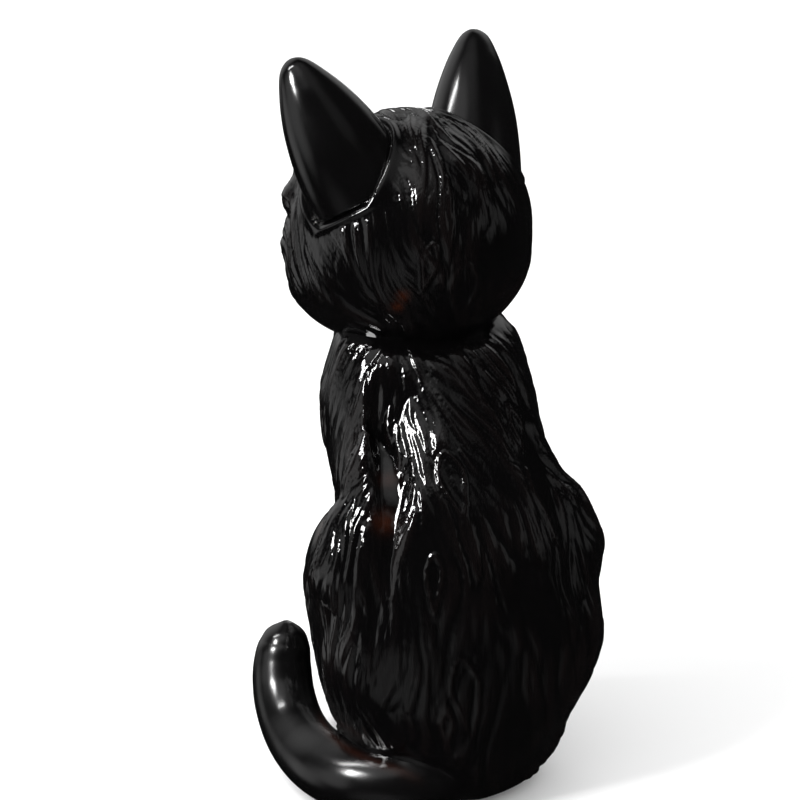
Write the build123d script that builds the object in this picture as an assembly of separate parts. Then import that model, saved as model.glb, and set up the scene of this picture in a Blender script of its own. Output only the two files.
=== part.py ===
# Sitting ceramic cat figurine: hollow slip-cast sections that are luted together and glazed.
# Frame: +Z up, the cat faces -Y, its left side is +X, and it stands on the plane Z = 0.
# The origin is on the flat underside of the base plate. Sizes are in millimetres.
import os

from build123d import *

# ---- driving dimensions ------------------------------------------------------------------
WALL = 4.5                      # thickness of the cast shells

SEAT_Z = 150.0                  # height of the neck seat, where head and torso meet
THROAT = (1.0, -22.0)           # centre of the passage between the two hollows
THROAT_R = 13.0

HEAD_C = (1.0, -28.0, 177.0)    # centre of the head
HEAD_R = 39.8                   # head radius, level
HEAD_RZ = 39.6                  # head radius, upright
CHEEK_C = (19.0, -9.0, -13.0)   # left cheek
CHEEK_R = (18.0, 18.2, 17.2)
HEAD_TURN = 19.0                # degrees that the face is turned to the cat's left
HEAD_ROLL = 0.9                 # degrees that the head leans to its right

PLATE_T = 5.0                   # base plate thickness
FOOT_RIM = 5.0                  # width of the foot ring around the plate
VENT = (0.0, 17.0)              # centre of the kiln vent hole
VENT_R = 4.0

# Torso sections, foot to neck: height, centre Y, half width, depth behind and in front of it.
TORSO = [
    (0.0, 11.0, 26.0, 21.5, 25.0),
    (4.0, 11.0, 31.0, 26.0, 29.0),
    (12.0, 11.5, 35.0, 31.0, 33.5),
    (20.0, 12.0, 37.2, 33.5, 36.5),
    (29.0, 12.5, 38.8, 35.0, 39.0),
    (39.0, 13.0, 39.5, 36.0, 40.5),
    (52.0, 13.5, 40.5, 36.0, 41.0),
    (66.0, 14.0, 39.5, 35.0, 41.5),
    (80.0, 14.0, 36.5, 33.0, 43.0),
    (93.0, 11.0, 35.0, 32.5, 44.5),
    (105.0, 3.0, 35.4, 35.5, 45.0),
    (118.0, -8.0, 35.2, 38.0, 39.0),
    (129.0, -12.5, 34.8, 34.0, 34.5),
    (140.0, -13.5, 31.8, 26.0, 32.0),
    (146.0, -15.5, 29.3, 22.0, 30.2),
    (SEAT_Z, -18.0, 26.5, 18.0, 28.0),
]
HOLLOW_TOP = 139.0              # the torso's hollow narrows to the throat above this

LEG_RISE = [                    # foreleg sections: height, X, Y, radius
    (0.0, 9.9, -41.0, 8.8),
    (18.0, 9.9, -40.5, 9.3),
    (50.0, 10.4, -39.0, 10.2),
    (80.0, 12.0, -37.0, 11.8),
    (102.0, 13.5, -35.0, 11.8),
    (114.0, 14.0, -34.0, 8.5),
    (120.0, 14.0, -33.5, 2.0),
]
PAW_C = (9.7, -49.5, 7.6)
PAW_R = (9.6, 14.0, 8.8)

HAUNCH_UPPER = ((30.0, 11.0, 73.0), (17.3, 23.0, 27.0))
HAUNCH_LOWER = ((28.0, 17.0, 54.0), (17.2, 22.5, 23.5))
HIND_PAW_C = (19.0, -26.0, 7.4)
HIND_PAW_R = (8.4, 14.0, 8.2)
HIND_PAW_TOE_OUT = 8.0          # degrees

# Tail: centre line X, Y, Z and the radius there, from inside the back to the raised tip.
TAIL = [
    (4.0, 23.5, 13.0, 8.0),
    (12.0, 32.0, 11.6, 10.9),
    (23.5, 34.8, 11.5, 11.4),
    (34.9, 28.9, 11.4, 11.3),
    (43.0, 16.9, 11.3, 11.1),
    (46.8, 2.8, 12.3, 10.9),
    (48.4, -10.0, 16.4, 10.5),
    (48.4, -18.9, 23.5, 10.2),
    (47.3, -23.6, 31.4, 9.6),
    (45.8, -25.3, 38.0, 8.2),
    (45.1, -25.7, 42.2, 5.6),
    (44.8, -25.9, 44.8, 1.6),
]

# Ears, left one, in the head's own directions (X outward, -Y towards the face).
EAR_BASE = (24.4, 1.0, 24.0)
EAR_TIP = (37.0, -15.0, 58.5)
EAR_WIDE = (26.0, 0.4, -27.5)   # direction across the ear, inner edge to outer edge
EAR_PROFILE = [                 # share of the length, half width, half depth
    (-0.25, 17.8, 15.2),
    (0.0, 17.2, 14.4),
    (0.3, 15.3, 12.8),
    (0.56, 12.4, 10.2),
    (0.78, 8.4, 7.2),
    (0.92, 4.6, 4.2),
    (1.0, 1.2, 1.2),
]
BOWL_SHARE = 0.66               # the ear's bowl is the same form at this share of its section
BOWL_SHIFT = 8.5                # and this far towards the front
BOWL_STOP = 0.86                # and this share of its length

EYE_AT = (15.0, -36.7, 3.0)     # centre of the left eye on the head's surface
EYE_R = (7.8, 5.2, 6.2)
EYE_SINK = 2.4                  # depth of the eye's centre under the head's surface
EYE_YAW = 22.5                  # degrees that each eye looks outward

PAD_C = (7.2, -36.5, -11.5)     # whisker pad
PAD_R = (10.2, 10.0, 8.4)
CHIN_C = (0.0, -33.5, -20.0)
CHIN_R = (9.0, 8.5, 6.4)
NOSE_C = (0.0, -43.6, -5.0)
NOSE_R = (4.8, 3.6, 3.4)


# ---- helpers -----------------------------------------------------------------------------
def ellipsoid(centre, radii, turn=(0, 0, 0)):
    """Ellipsoid with the given half axes, turned about its own centre."""
    return Pos(*centre) * (Rot(*turn) * scale(Sphere(1.0), by=tuple(radii)))


def egg(z, cy, half, back, front):
    """Level egg-shaped section: two half ellipses that share their widest line."""
    rear = EllipticalCenterArc((0, 0), half, back, start_angle=0, arc_size=180)
    fore = EllipticalCenterArc((0, 0), half, front, start_angle=180, arc_size=180)
    return Pos(0, cy, z) * make_face([rear, fore])


def inset(section, by):
    """The same section, smaller all round."""
    z, cy, half, back, front = section
    return (z, cy, half - by, back - by, front - by)


def at_height(z):
    """Torso section at a height, by straight interpolation between its neighbours."""
    for low, high in zip(TORSO, TORSO[1:]):
        if low[0] <= z <= high[0]:
            t = (z - low[0]) / (high[0] - low[0])
            return tuple(a + (b - a) * t for a, b in zip(low, high))
    raise ValueError("height outside the torso")


def round_loft(stations):
    """Loft of circles along a path given as X, Y, Z, radius, each square to the path."""
    points = [Vector(*s[:3]) for s in stations]
    path = Spline(points)
    faces = []
    for point, station in zip(points, stations):
        along = path.tangent_at(path.param_at_point(point))
        faces.append(Plane(point, z_dir=along) * Circle(station[3]))
    return loft(faces)


def both_sides(name, solid, mirror_plane=Plane.YZ):
    """A left piece and its mirror image on the right."""
    return {f"{name}_left": solid, f"{name}_right": mirror(solid, about=mirror_plane)}


def on_head(solid):
    """Moves a solid from the head's own directions to its place."""
    return Pos(*HEAD_C) * (Rot(0, 0, HEAD_TURN) * (Rot(0, -HEAD_ROLL, 0) * solid))


# ---- body --------------------------------------------------------------------------------
def torso_outside():
    return loft([egg(*section) for section in TORSO])


def plate_outline(height):
    return extrude(egg(*inset(TORSO[0], FOOT_RIM)), amount=height)


def torso_shell(outside):
    heights = [PLATE_T] + [s[0] for s in TORSO if PLATE_T + 4 < s[0] < HOLLOW_TOP] + [HOLLOW_TOP]
    hollow = loft([egg(*inset(at_height(z), WALL)) for z in heights])
    throat = Pos(*THROAT, HOLLOW_TOP - 2) * Cylinder(
        THROAT_R, SEAT_Z - HOLLOW_TOP + 4, align=(Align.CENTER, Align.CENTER, Align.MIN))
    return outside - hollow - throat - plate_outline(PLATE_T)


def base_plate():
    vent = Pos(*VENT, PLATE_T / 2) * Cylinder(VENT_R, PLATE_T * 2)
    return plate_outline(PLATE_T) - vent


def above(z):
    """Everything over a height."""
    return Pos(0, 0, z) * Box(400, 400, 400, align=(Align.CENTER, Align.CENTER, Align.MIN))


def foreleg(outside):
    column = loft([Pos(x, y, z) * Circle(r) for z, x, y, r in LEG_RISE])
    leg = column + ellipsoid(PAW_C, PAW_R)
    half_space = Box(200, 200, 300, align=(Align.MIN, Align.CENTER, Align.MIN))
    return (leg & half_space) - outside


def haunch(outside):
    return (ellipsoid(*HAUNCH_UPPER) + ellipsoid(*HAUNCH_LOWER)) - outside


def hind_paw(outside, leg):
    paw = ellipsoid(HIND_PAW_C, HIND_PAW_R, (0, 0, HIND_PAW_TOE_OUT)) & above(0)
    return paw - outside - leg


def tail(outside, flank):
    return (round_loft(TAIL) & above(0)) - outside - flank


# ---- head, in its own directions ---------------------------------------------------------
def head_form(inset_by=0.0):
    """Round skull with full cheeks, or the same form inset for the hollow."""
    round_part = ellipsoid((0, 0, 0), [HEAD_R - inset_by, HEAD_R - inset_by, HEAD_RZ - inset_by])
    cheek = ellipsoid(CHEEK_C, [r - inset_by for r in CHEEK_R])
    return round_part + cheek + mirror(cheek, about=Plane.YZ)


def ear_loft(share=1.0, shift=0.0, stop=1.0):
    """The ear's cone; share scales its sections, shift moves it forward, stop shortens it."""
    base, tip = Vector(*EAR_BASE), Vector(*EAR_TIP)
    length = (tip - base).length
    up = (tip - base).normalized()
    wide = Vector(*EAR_WIDE)
    wide = (wide - up * wide.dot(up)).normalized()
    front = up.cross(wide).normalized()
    if front.Y > 0:
        front = front * -1
    faces = []
    for along, half, deep in EAR_PROFILE:
        centre = base + up * (length * along * stop) + front * shift * (1 - max(along, 0))
        plane = Plane(centre, x_dir=wide, z_dir=up)
        faces.append(plane * Ellipse(half * share, deep * share))
    return loft(faces)


def ear(skull):
    return ear_loft() - ear_loft(BOWL_SHARE, BOWL_SHIFT, BOWL_STOP) - skull


def eye():
    """Left eye cabochon, turned outward and sunk a little under the head's surface."""
    at = Vector(*EYE_AT)
    centre = at * ((at.length - EYE_SINK) / at.length)
    return ellipsoid(tuple(centre), EYE_R, (0, 0, EYE_YAW))


def muzzle(skull):
    pad = ellipsoid(PAD_C, PAD_R)
    return (pad + mirror(pad, about=Plane.YZ) + ellipsoid(CHIN_C, CHIN_R)) - skull


def nose():
    return ellipsoid(NOSE_C, NOSE_R)


def head_pieces():
    skull = head_form()
    hollow = head_form(WALL)
    eyes = both_sides("eye", eye())
    ears = both_sides("ear", ear(skull))
    nose_solid = nose()
    muzzle_solid = muzzle(skull) - nose_solid
    shell = skull - hollow
    for socketed in eyes.values():
        shell = shell - socketed
    shell = shell - nose_solid
    pieces = {name: on_head(solid) for name, solid in {**eyes, **ears}.items()}
    pieces["muzzle"] = on_head(muzzle_solid)
    pieces["nose"] = on_head(nose_solid)
    throat = Pos(*THROAT, SEAT_Z - 5) * Cylinder(
        THROAT_R, 30, align=(Align.CENTER, Align.CENTER, Align.MIN))
    pieces["head_shell"] = (on_head(shell) & above(SEAT_Z)) - throat
    return pieces


# ---- assembly ----------------------------------------------------------------------------
def all_pieces():
    outside = torso_outside()
    leg = foreleg(outside)
    flank = haunch(outside)
    paw = hind_paw(outside, leg)
    return {
        "torso_shell": torso_shell(outside),
        "base_plate": base_plate(),
        **both_sides("foreleg", leg),
        **both_sides("haunch", flank),
        **both_sides("hind_paw", paw),
        "tail": tail(outside, flank),
        **head_pieces(),
    }


os.makedirs("parts", exist_ok=True)
for node, solid in all_pieces().items():
    export_step(solid, f"parts/{node}.step")
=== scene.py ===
"""Looks of the ceramic cat: sculpted glazed body, head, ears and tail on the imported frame.

Everything is worked out in millimetres, in the frame of the CAD part, and scaled to metres
when a mesh is made. The cat faces -Y, its left side is +X and it stands on Z = 0. The head
is shaped in its own directions and then turned and placed.
"""
import math

import bpy
import numpy as np
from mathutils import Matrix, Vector


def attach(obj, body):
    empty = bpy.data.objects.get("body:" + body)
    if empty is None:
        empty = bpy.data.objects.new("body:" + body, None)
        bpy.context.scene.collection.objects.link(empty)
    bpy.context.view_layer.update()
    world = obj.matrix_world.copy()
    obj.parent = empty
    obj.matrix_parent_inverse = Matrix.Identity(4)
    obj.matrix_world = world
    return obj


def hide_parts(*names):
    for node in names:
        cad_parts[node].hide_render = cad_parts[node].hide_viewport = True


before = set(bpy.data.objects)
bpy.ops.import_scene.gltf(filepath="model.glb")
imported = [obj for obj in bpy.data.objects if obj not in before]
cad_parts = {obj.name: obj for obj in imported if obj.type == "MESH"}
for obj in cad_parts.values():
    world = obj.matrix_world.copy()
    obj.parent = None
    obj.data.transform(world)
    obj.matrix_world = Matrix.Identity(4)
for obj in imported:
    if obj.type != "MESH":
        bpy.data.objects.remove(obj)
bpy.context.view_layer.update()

MM = 0.001

# ---- dimensions of the cast sections, in millimetres ---------------------------------------
SEAT_Z = 150.0
HEAD_C = np.array((1.0, -28.0, 177.0))
HEAD_TURN = math.radians(19.0)     # towards the cat's left
HEAD_ROLL = math.radians(0.9)
SKULL = (39.8, 39.8, 39.6)
FOOT_RIM = 5.0
PLATE_T = 5.0
VENT = (0.0, 17.0, 4.0)            # centre across, centre along and radius

# Torso sections: height, centre Y, half width, depth behind and in front of the centre.
TORSO = np.array([
    (0.0, 11.0, 26.0, 21.5, 25.0),
    (4.0, 11.0, 31.0, 26.0, 29.0),
    (12.0, 11.5, 35.0, 31.0, 33.5),
    (20.0, 12.0, 37.2, 33.5, 36.5),
    (29.0, 12.5, 38.8, 35.0, 39.0),
    (39.0, 13.0, 39.5, 36.0, 40.5),
    (52.0, 13.5, 40.5, 36.0, 41.0),
    (66.0, 14.0, 39.5, 35.0, 41.5),
    (80.0, 14.0, 36.5, 33.0, 43.0),
    (93.0, 11.0, 35.0, 32.5, 44.5),
    (105.0, 3.0, 35.4, 35.5, 45.0),
    (118.0, -8.0, 35.2, 38.0, 39.0),
    (129.0, -12.5, 34.8, 34.0, 34.5),
    (140.0, -13.5, 31.8, 26.0, 32.0),
    (146.0, -15.5, 29.3, 22.0, 30.2),
    (SEAT_Z, -18.0, 26.5, 18.0, 28.0),
])
# Foreleg from the floor up: centre and radius.
LEG = [
    (9.9, -41.0, 0.0, 8.8), (9.9, -40.5, 18.0, 9.3), (10.4, -39.0, 50.0, 10.2),
    (12.0, -37.0, 80.0, 11.8), (13.5, -35.0, 102.0, 11.8), (14.0, -34.0, 112.0, 8.5),
]
# Toes: place across, place along and radius.
FORE_TOES = ((3.75, -55.4, 3.7), (8.15, -58.2, 4.1), (12.85, -57.6, 4.0), (16.75, -53.6, 3.5))
HIND_TOES = ((13.8, -34.0, 3.0), (17.4, -36.2, 3.2), (21.0, -35.7, 3.2), (24.1, -33.4, 2.7))
HIND_YAW = 8.0
TAIL_FILLET = 3.0
# Tail's centre line from its root to its tip, with its radius.
TAIL = np.array([
    (4.0, 23.5, 13.0, 8.0), (12.0, 32.0, 11.6, 10.9), (23.5, 34.8, 11.5, 11.4),
    (34.9, 28.9, 11.4, 11.3), (43.0, 16.9, 11.3, 11.1), (46.8, 2.8, 12.3, 10.9),
    (48.4, -10.0, 16.4, 10.5), (48.4, -18.9, 23.5, 10.2), (47.3, -23.6, 31.4, 9.6),
    (45.8, -25.3, 38.0, 8.2), (45.1, -25.7, 42.2, 5.6), (44.8, -25.9, 44.8, 1.6),
])
EAR_BASE = np.array((24.4, 1.0, 24.0))
EAR_TIP = np.array((37.0, -15.0, 58.5))
EAR_WIDE = np.array((26.0, 0.4, -27.5))
# Share of the ear's length, half width and half depth there.
EAR_PROFILE = np.array([
    (-0.25, 17.8, 15.2), (0.0, 17.2, 14.4), (0.3, 15.3, 12.8), (0.56, 12.4, 10.2),
    (0.78, 8.6, 7.4), (0.92, 5.4, 4.8), (1.0, 2.8, 2.6),
])


# ---- distance fields -------------------------------------------------------------------------
def turned(q, yaw):
    """Points in the directions of something that is turned about Z by yaw degrees."""
    c, s = math.cos(math.radians(yaw)), math.sin(math.radians(yaw))
    return np.stack([c * q[:, 0] + s * q[:, 1], c * q[:, 1] - s * q[:, 0], q[:, 2]], 1)


def ellipsoid(p, centre, radii, yaw=0.0):
    """Signed distance to an ellipsoid that is turned about Z by yaw degrees."""
    q = p - np.asarray(centre, float)
    if yaw:
        q = turned(q, yaw)
    r = np.asarray(radii, float)
    near = np.sqrt(((q / r) ** 2).sum(1))
    slope = np.sqrt(((q / r ** 2) ** 2).sum(1)) + 1e-9
    return near * (near - 1.0) / slope


def rod(p, a, b, ra, rb):
    """Rod from a to b whose radius goes from ra to rb, with round ends."""
    a, b = np.asarray(a, float), np.asarray(b, float)
    way = b - a
    t = np.clip((p - a) @ way / (way @ way), 0.0, 1.0)
    return np.sqrt(((p - a - t[:, None] * way) ** 2).sum(1)) - (ra + (rb - ra) * t)


def join(a, b, k):
    """Union with a fillet of about k."""
    h = np.maximum(k - np.abs(a - b), 0.0) / k
    return np.minimum(a, b) - h * h * k * 0.25


def cut(a, b, k):
    """Takes b away from a, with an edge rounded over about k."""
    return -join(-a, b, k)


def both(p):
    """The points on the left side that stand for both sides."""
    return np.stack([np.abs(p[:, 0]), p[:, 1], p[:, 2]], 1)


def ease(x, low, high):
    """Smooth step from 0 at low to 1 at high."""
    t = np.clip((x - low) / (high - low), 0.0, 1.0)
    return t * t * (3.0 - 2.0 * t)


def waves(p, size, seed, count=10):
    """Smooth noise of about -1 to 1 whose features have the given size."""
    rng = np.random.default_rng(seed)
    ways = rng.normal(size=(count, 3))
    pitch = (2 * math.pi / size) * rng.uniform(0.6, 1.5, (count, 1))
    ways *= pitch / np.linalg.norm(ways, axis=1)[:, None]
    return np.sin(p @ ways.T + rng.uniform(0, 2 * math.pi, count)).sum(1) / math.sqrt(count)


def smooth_table(table, steps):
    """The rows of a table joined by a smooth curve through them, at even steps of the first column."""
    x, y = table[:, 0], table[:, 1:]
    slope = np.gradient(y, x, axis=0)
    at = np.linspace(x[0], x[-1], steps)
    i = np.clip(np.searchsorted(x, at) - 1, 0, len(x) - 2)
    h = (x[i + 1] - x[i])[:, None]
    t = ((at - x[i])[:, None]) / h
    rows = ((1 + 2 * t) * (1 - t) ** 2 * y[i] + t * (1 - t) ** 2 * h * slope[i]
            + t * t * (3 - 2 * t) * y[i + 1] + t * t * (t - 1) * h * slope[i + 1])
    return np.concatenate([at[:, None], rows], 1)


TORSO_FINE = smooth_table(TORSO, 400)
TORSO_LEAN = np.abs(np.gradient(TORSO_FINE[:, 2:5], TORSO_FINE[:, 0], axis=0)).mean(1)


def torso_skin(p, inset=0.0):
    """Signed distance to the body's plain skin, or to one that lies inset under it."""
    z = np.clip(p[:, 2], 0.0, SEAT_Z)
    cy, rx, back, front = [np.interp(z, TORSO_FINE[:, 0], TORSO_FINE[:, k]) for k in (1, 2, 3, 4)]
    lean = np.interp(z, TORSO_FINE[:, 0], TORSO_LEAN)
    x, y = np.abs(p[:, 0]), p[:, 1] - cy
    ry = np.where(y > 0, back, front) - inset
    rx = rx - inset
    n = np.where(y > 0, 2.0 + 0.75 * ease(z, 14.0, 45.0) * (1 - ease(z, 88.0, 122.0)), 2.0)
    a, b = (x / rx) ** n, (np.abs(y) / ry) ** n
    near = (a + b) ** (1.0 / n) + 1e-9
    slope = np.sqrt((a / np.maximum(x, 1e-6)) ** 2 + (b / np.maximum(np.abs(y), 1e-6)) ** 2) + 1e-9
    slope = slope / near ** (n - 1.0)
    return (near - 1.0) / slope / np.sqrt(1.0 + lean ** 2)


def along_z(z, table, k):
    """Column k of a table whose first column is height."""
    return np.interp(z, table[:, 0], table[:, k])


def hem(p):
    """Height of the fur's lower edge: over the tail's root behind, low at the front and right."""
    behind = ease(p[:, 1], -4.0, 6.0)
    return np.interp(p[:, 0], HEM[:, 0], HEM[:, 1]) * behind + FRONT_HEM * (1 - behind)


# Valley beside the spine, from the neck down: height, distance from the middle, half width, depth.
VALLEY = np.array([
    (80.0, 30.0, 0.9, 0.0), (88.0, 29.2, 1.5, 1.2), (94.0, 28.0, 2.2, 2.2), (101.0, 26.5, 2.9, 3.0),
    (107.0, 24.6, 3.8, 3.3), (112.0, 23.8, 4.0, 3.3), (117.0, 23.4, 3.7, 3.2), (121.0, 24.2, 2.6, 3.0),
    (126.0, 24.6, 2.0, 2.6), (133.0, 24.0, 1.6, 2.4), (140.0, 22.9, 1.6, 2.0), (148.0, 21.4, 1.8, 1.0),
])
# Flank panel beside it: height, its front and rear edges, and how far it stands proud.
FLANK = np.array([
    (34.0, 24.0, 44.0, 0.0), (52.0, 24.0, 43.0, 1.0), (66.0, 23.5, 40.0, 1.5), (80.0, 22.0, 37.0, 1.5),
    (90.0, 17.0, 33.8, 1.3), (97.0, 12.6, 30.5, 1.2), (105.0, 10.6, 26.5, 1.2), (112.0, 10.2, 21.7, 1.2),
    (118.5, 10.2, 16.8, 1.2), (126.0, 11.0, 12.6, 0.9), (128.5, 11.5, 11.8, 0.0),
])
# Turned-in double lip low on the right side: place along X and its height.
LIP = np.array([(-34.0, 19.0), (-27.0, 13.0), (-17.0, 8.4), (-1.0, 4.6)])
# Hem where the fur ends over the root of the tail: place along X and its height.
HEM = np.array([
    (-5.0, 5.0), (0.0, 8.0), (4.7, 11.0), (15.5, 17.5), (20.0, 25.0), (23.0, 31.0),
    (26.0, 28.5), (29.0, 26.0), (34.0, 23.5), (40.0, 21.0),
])
FRONT_HEM = 6.0
# Ridge under the flank panel, from its point down to the haunch: two ends with their radii.
PANEL_RIDGE = ((25.5, 11.5, 120.0), (36.0, 21.5, 82.0), 2.5, 8.5)
RIGHT_VALLEY = 0.3       # depth of the right valley as a share of the left one
BACK_SLOPE = 3.4         # how far the left of the upper back falls away towards its valley
LIP_H = 0.8              # how far the lip stands proud
LIP_GAP = 3.2            # height between its two edges


def valley_share(q):
    """1 in the middle of the valley, 0 outside it."""
    x, wide = along_z(q[:, 2], VALLEY, 1), along_z(q[:, 2], VALLEY, 2)
    rear = ease(q[:, 1], 2.0, 12.0)
    return np.exp(-((q[:, 0] - x) / (wide * 1.25)) ** 4) * rear


def flank_share(q):
    """1 on the flank panel, 0 outside its edges."""
    front, rear = along_z(q[:, 2], FLANK, 1), along_z(q[:, 2], FLANK, 2)
    return ease(rear - q[:, 1], -0.9, 1.0) * ease(q[:, 1] - front, -0.8, 0.9) * ease(q[:, 0], 8.0, 16.0)


def torso(p):
    """Body casting with the flank panels, the two valleys of the back and the lips at the foot."""
    q = both(p)
    z, left = q[:, 2], ease(p[:, 0], -6.0, 6.0)
    body = join(torso_skin(p), rod(q, *PANEL_RIDGE), 6.0)
    panel = flank_share(q) * (left + (1 - left) * (1 - ease(z, 96.0, 108.0)))
    body = body - along_z(z, FLANK, 3) * panel * (1 - valley_share(q))
    middle, wide, deep = [along_z(z, VALLEY, k) for k in (1, 2, 3)]
    tilt = 1 - 0.45 * np.clip((q[:, 0] - middle) / wide, -1, 1)
    body = body + (RIGHT_VALLEY + (1 - RIGHT_VALLEY) * left) * tilt * deep * valley_share(q)
    beside = ease(q[:, 0], 4.0, 21.0) * (1 - ease(q[:, 0], middle, middle + 2.0 * wide))
    upper = ease(z, 110.0, 124.0) * ease(q[:, 1], 2.0, 12.0)
    body = body + BACK_SLOPE * beside * ease(p[:, 0], 0.0, 6.0) * upper
    low = p[:, 2] - np.interp(p[:, 0], LIP[:, 0], LIP[:, 1])
    lips = np.exp(-(low / 0.8) ** 2) + 0.8 * np.exp(-((low + LIP_GAP) / 0.8) ** 2)
    body = body - LIP_H * lips * ease(p[:, 1], 12.0, 22.0) * (1 - ease(p[:, 0], -4.0, 3.0))
    body = cut(body, p[:, 2], 2.2)
    return cut(body, SEAT_Z + 1.0 - p[:, 2], 2.5)


def plate_recess(p):
    """Room for the base plate, and the start of the hollow over its vent."""
    room = torso_skin(np.stack([p[:, 0], p[:, 1], np.zeros(len(p))], 1), FOOT_RIM - 0.35)
    room = np.maximum(room, p[:, 2] - PLATE_T - 0.3)
    well = ellipsoid(p, (VENT[0], VENT[1], 6.0), (11.0, 10.0, 13.0))
    return np.minimum(room, well)


def haunch(p):
    """Thigh lobe on the flank, with the lower end of the flank panel over it."""
    q = both(p)
    upper = ellipsoid(q, (30.0, 8.0, 73.0), (17.3, 20.0, 27.0))
    lower = ellipsoid(q, (28.0, 17.0, 54.0), (17.2, 22.5, 23.5))
    return join(upper, lower, 6.0) - along_z(q[:, 2], FLANK, 3) * flank_share(q)


def toes_of(q, toes, height, radii, yaw):
    """Row of toes grown together: places, and the radii and turn that go with each."""
    d = None
    for x, y, r in toes:
        toe = ellipsoid(q, (x, y, height), radii(r), yaw=yaw(x))
        d = toe if d is None else join(d, toe, 0.9)
    return d


def foreleg(p):
    """Foreleg from the shoulder down, with its paw."""
    q = both(p)
    d = None
    for low, high in zip(LEG, LEG[1:]):
        part = rod(q, low[:3], high[:3], low[3], high[3])
        d = part if d is None else join(d, part, 1.5)
    d = join(d, ellipsoid(q, (10.1, -45.5, 7.2), (9.2, 10.5, 8.2)), 3.0)
    toes = toes_of(q, FORE_TOES, 5.0, lambda r: (r * 0.8, 5.6, 5.0), lambda x: (x - 10.15) * -2.0)
    return cut(join(d, toes, 2.4), p[:, 2], 1.6)


def hind_paw(p):
    """Paw that peeps out below the haunch."""
    q = both(p)
    d = ellipsoid(q, (19.0, -24.5, 7.2), (8.2, 13.0, 8.0), yaw=HIND_YAW)
    toes = toes_of(q, HIND_TOES, 4.6, lambda r: (r * 0.85, 5.0, 4.5), lambda x: HIND_YAW)
    return cut(join(d, toes, 2.0), p[:, 2], 1.6)


def tail_form(p):
    """Plain rods along the tail, without its tip."""
    d = rod(p, TAIL[0, :3], TAIL[1, :3], TAIL[0, 3], TAIL[1, 3])
    for low, high in zip(TAIL[1:8], TAIL[2:9]):
        d = np.minimum(d, rod(p, low[:3], high[:3], low[3], high[3]))
    return d


BODY_PARTS = {
    "torso": torso, "haunch": haunch, "foreleg": foreleg, "hind_paw": hind_paw, "tail": tail_form,
}
BODY_FILLET = {
    "haunch": lambda p: 2.5 + 13.5 * (1 - ease(p[:, 2], 99.0, 112.0)) * ease(p[:, 1], 2.0, 16.0),
    "foreleg": lambda p: 5.0,
    "hind_paw": lambda p: 2.5,
    "tail": lambda p: TAIL_FILLET,
}


def part_of(parts, fillets, name, p, dive=0.9):
    """One part of a smooth union: it is the union over its own region and dives under the rest."""
    each = {key: field(p) for key, field in parts.items()}
    keys = list(parts)
    whole = each[keys[0]]
    for key in keys[1:]:
        whole = join(whole, each[key], fillets[key](p))
    others = np.min([each[key] for key in keys if key != name], axis=0)
    return whole + dive * np.maximum(each[name] - others - 0.15, 0.0)


# ---- head, in its own directions: from the skull's centre, facing -Y ---------------------------------
def ear_frame():
    """Directions of the left ear, up it, across it and out of its bowl, and its length."""
    up = EAR_TIP - EAR_BASE
    length = np.linalg.norm(up)
    up = up / length
    wide = EAR_WIDE - up * (EAR_WIDE @ up)
    wide /= np.linalg.norm(wide)
    front = np.cross(up, wide)
    if front[1] > 0:
        front = -front
    return up, wide, front, length


def ear_cone(p, share=1.0, shift=0.0, stop=1.0):
    """Ear without its bowl, or with share, shift and stop the smaller cone that hollows it."""
    up, wide, front, length = ear_frame()
    fine = smooth_table(EAR_PROFILE, 200)
    q = p - EAR_BASE
    along = (q @ up) / (length * stop)
    half = np.interp(along, fine[:, 0], fine[:, 1]) * share
    deep = np.interp(along, fine[:, 0], fine[:, 2]) * share
    x = q @ wide
    y = q @ front - shift * (1 - np.maximum(along, 0.0))
    near = np.sqrt((x / half) ** 2 + (y / deep) ** 2)
    slope = np.sqrt((x / half ** 2) ** 2 + (y / deep ** 2) ** 2) + 1e-9
    side = near * (near - 1.0) / slope * 0.94
    top = (along - 1.0) * length * stop
    low = (-0.22 - along) * length * stop
    return cut(np.maximum(side, low), -top, 3.0)


def ear(p):
    """Left ear: the cone with its front bowl."""
    bowl = ear_cone(p, 0.68, 8.0, 0.86)
    return cut(ear_cone(p), bowl, 2.2)


EYE_FRONT = np.array((15.0, -36.7, 3.0))
EYE_AT = EYE_FRONT * (1 - 2.4 / np.linalg.norm(EYE_FRONT))
EYE_R = np.array((7.8, 5.2, 6.2))
EYE_YAW = 22.5


def eye_plane(p):
    """Places on the eye: across it, outward positive, and up it."""
    return turned(both(p) - EYE_AT, EYE_YAW).T


def lids(p):
    """Eyelids: a shell over the eye with an almond opening."""
    across, _, up = eye_plane(p)
    lid = ellipsoid(both(p), EYE_AT, EYE_R + np.array((1.5, 1.25, 1.5)), yaw=EYE_YAW)
    tilt = up - 0.16 * across
    opening = np.abs(tilt + 0.2) - 4.7 * (1 - (across / 7.2) ** 2)
    return cut(lid, opening * 0.8, 0.9)


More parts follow.
